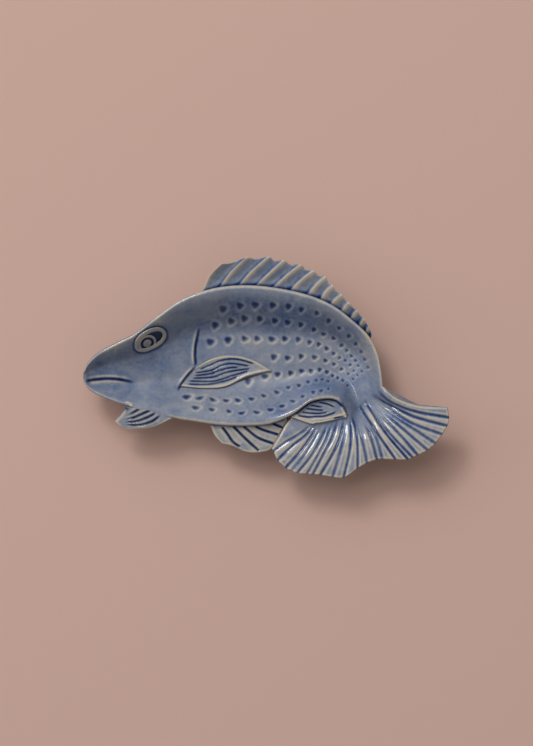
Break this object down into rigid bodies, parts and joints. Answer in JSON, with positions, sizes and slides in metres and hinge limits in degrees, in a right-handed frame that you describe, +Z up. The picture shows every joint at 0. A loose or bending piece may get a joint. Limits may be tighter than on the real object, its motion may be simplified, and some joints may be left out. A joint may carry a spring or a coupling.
{
  "type": "fish-shaped serving platter",
  "caption": "Shallow glazed stoneware serving dish shaped as a fish seen from the side, with a hollow body, fluted fins and tail, a raised eye and an oval foot ring.",
  "frame": {"origin": "on the table, under the middle of the bounding box", "axes": "+X from the snout towards the tail, +Y from the belly towards the back, +Z up out of the basin"},
  "size_m": [0.22, 0.1331, 0.0305],
  "materials": {
    "glaze": "glossy blue glaze over stoneware, navy where it pools and beige where it runs thin",
    "bare_clay": "bare fired stoneware, matt"
  },
  "bodies": {
    "root": {"dish_body": "glaze", "foot_ring": "bare_clay", "dorsal_fin": "glaze", "tail_fin": "glaze", "anal_fin": "glaze", "anal_fin_lobe": "glaze", "pelvic_fin": "glaze", "throat_fin": "glaze", "pectoral_fin": "glaze", "eye_ring": "glaze", "eye_iris": "glaze", "eye_pupil": "glaze"}
  },
  "joints": []
}
